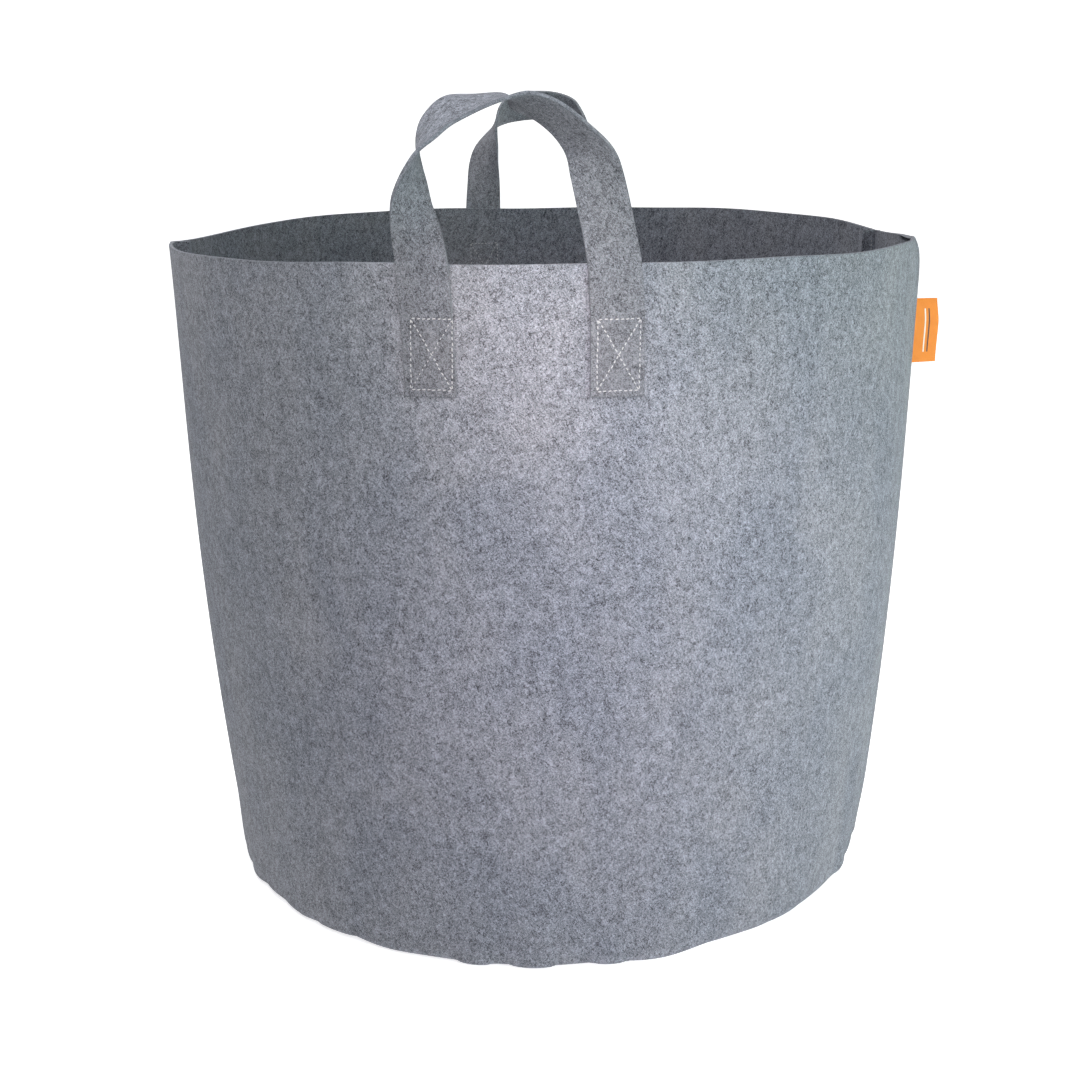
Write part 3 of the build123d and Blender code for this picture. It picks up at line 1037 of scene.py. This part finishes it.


# ---------------------------------------------------------------- bodies, and hidden parts of the model


for piece, start, end in (
    (front_panel, LEFT_SEAM, RIGHT_SEAM + 2 * math.pi),
    (back_panel, RIGHT_SEAM, LEFT_SEAM),
):
    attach(piece, "bag")
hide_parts("front_panel")
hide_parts("back_panel")

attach(base, "bag")
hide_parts("base_disc")

for piece, wall, length in (
    (front_strap, "front", front_strap_length),
    (back_strap, "back", back_strap_length),
):
    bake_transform(piece)
    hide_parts(f"{wall}_handle_loop", f"{wall}_handle_left_end", f"{wall}_handle_right_end")

for box_name, made in box_threads_made.items():
    for key, piece in made.items():
        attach(piece, "bag")
        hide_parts(f"{box_name}_box_{key}_thread")
for cad_name, piece in seam_threads.items():
    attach(piece, "bag")
    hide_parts(cad_name)

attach(label, "bag")
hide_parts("label")


# ---------------------------------------------------------------- stage, lights and camera

def build_stage():
    """Plain white sweep: a floor that curves up into a backdrop, and a soft even surround."""
    half, back, level, bend = 9.0, 3.0, -0.3 * MM, 1.5
    line = [(-9.0, level), (back - bend, level)]
    for k in range(1, 13):
        angle = math.pi / 2 * k / 12
        line.append((back - bend + bend * math.sin(angle), level + bend * (1 - math.cos(angle))))
    line.append((back, 7.0))
    corners = [(x, y, z) for y, z in line for x in (-half, half)]
    faces = [(2 * k, 2 * k + 1, 2 * k + 3, 2 * k + 2) for k in range(len(line) - 1)]
    mesh = bpy.data.meshes.new("floor")
    mesh.from_pydata(corners, [], faces)
    mesh.polygons.foreach_set("use_smooth", np.ones(len(faces), dtype=bool))
    mesh.materials.append(plain_material("floor_white", (0.9, 0.9, 0.9), 0.9, FLOOR_GLOW))
    floor = bpy.data.objects.new("floor", mesh)
    bpy.context.scene.collection.objects.link(floor)
    world = bpy.data.worlds.new("studio")
    world.use_nodes = True
    world.node_tree.nodes["Background"].inputs["Color"].default_value = (1.0, 1.0, 1.0, 1)
    world.node_tree.nodes["Background"].inputs["Strength"].default_value = SURROUND
    bpy.context.scene.world = world


def hang_light(name, lamp, place, target, power, colour):
    """Put a light at a place and aim it."""
    lamp.energy = power
    lamp.color = colour
    thing = bpy.data.objects.new(name, lamp)
    thing.location = place
    thing.rotation_euler = (Vector(target) - Vector(place)).to_track_quat("-Z", "Y").to_euler()
    bpy.context.scene.collection.objects.link(thing)


def soft_light(name, place, target, size, power, colour):
    """Square soft light aimed at a place."""
    lamp = bpy.data.lights.new(name, "AREA")
    lamp.shape = "SQUARE"
    lamp.size = size
    hang_light(name, lamp, place, target, power, colour)


def spot_light(name, place, target, cone, power, colour):
    """Soft-edged spot aimed at a place."""
    lamp = bpy.data.lights.new(name, "SPOT")
    lamp.spot_size = math.radians(cone)
    lamp.spot_blend = 1.0
    lamp.shadow_soft_size = 0.06
    hang_light(name, lamp, place, target, power, colour)


def build_camera():
    """Camera about a metre in front, a little above the rim, looking slightly down."""
    place = Vector((14.7, -1024.3, 460.8)) * MM
    pitch, roll, yaw = 0.2396, -0.0100, -0.0178
    focal_share = 1.3591
    ahead = math.cos(pitch)
    forward = Vector((math.sin(yaw) * ahead, math.cos(yaw) * ahead, -math.sin(pitch)))
    level = Vector((math.cos(yaw), -math.sin(yaw), 0))
    upright = level.cross(forward)
    right = level * math.cos(roll) + upright * math.sin(roll)
    up = upright * math.cos(roll) - level * math.sin(roll)
    data = bpy.data.cameras.new("camera")
    data.sensor_width = 36.0
    data.lens = focal_share * data.sensor_width
    data.clip_start = 0.01
    camera = bpy.data.objects.new("camera", data)
    turn = Matrix((right, up, -forward)).transposed()
    camera.matrix_world = Matrix.Translation(place) @ turn.to_4x4()
    bpy.context.scene.collection.objects.link(camera)
    bpy.context.scene.camera = camera


build_stage()
# The lights' places are given one by one. Their strengths and colours were first fitted to the brightness of a
# photograph of the bag, and then adjusted.
soft_light("right", (1.25, -0.75, 0.25), (0.1, -0.05, 0.2), 0.8, 13.0, (0.87, 1.10, 1.0))
soft_light("front", (0.03, -0.62, 0.66), (0.02, -0.25, 0.36), 0.2, 1.05, (0.92, 0.96, 1.04))
soft_light("overhead", (-0.35, -0.28, 1.5), (0.0, -0.05, 0.45), 0.5, 8.5, (1.0, 0.97, 0.97))
spot_light("middle", (0.25, -1.3, 0.55), (0.11, -0.25, 0.20), 27, 26.5, (1.08, 0.83, 1.09))
spot_light("upper", (0.25, -1.2, 0.70), (0.05, -0.25, 0.32), 18, 5.0, (0.9, 1.1, 0.98))
spot_light("glow_high", (0.08, -1.15, 0.62), (-0.004, -0.25, 0.405), 7.4, 46.0, (1.2, 0.94, 0.88))
spot_light("glow_low", (0.08, -1.15, 0.62), (-0.002, -0.25, 0.355), 7.4, 21.0, (1.2, 0.94, 0.88))
spot_light("handle_top", (-0.45, -0.65, 1.35), (-0.038, -0.25, 0.495), 8, 62.0, (1.0, 1.0, 1.0))
build_camera()
bpy.context.scene.view_settings.view_transform = "Standard"
